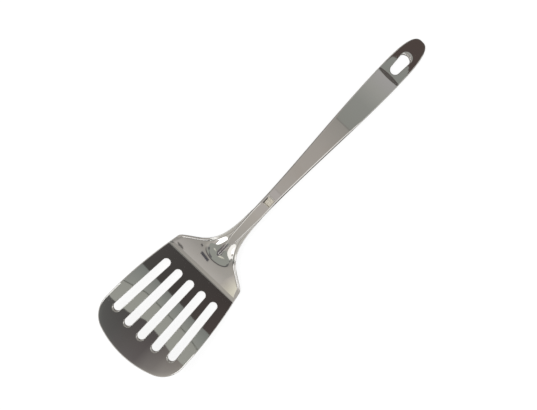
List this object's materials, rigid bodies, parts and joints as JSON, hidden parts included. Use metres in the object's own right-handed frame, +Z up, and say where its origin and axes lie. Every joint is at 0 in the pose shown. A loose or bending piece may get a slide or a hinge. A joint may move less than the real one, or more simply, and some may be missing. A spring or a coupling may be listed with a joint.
{
  "type": "slotted turner",
  "caption": "All-metal kitchen turner: a slotted blade with bowed front edge, a scooped neck and a slim hollow handle that widens to a hang tab.",
  "frame": {"origin": "middle of the footprint, on the surface that the turner lies on", "axes": "+X from the blade to the handle's end, +Y to the left seen from behind the handle, +Z up from the surface; the blade faces up"},
  "size_m": [0.3514, 0.087, 0.0205],
  "materials": {
    "polished_steel": "stainless sheet, mirror polished with fine wipe marks",
    "satin_steel": "stainless sheet, finely brushed along the handle"
  },
  "bodies": {
    "root": {"blade": "polished_steel", "handle_front": "polished_steel", "handle_back": "satin_steel"}
  },
  "joints": []
}
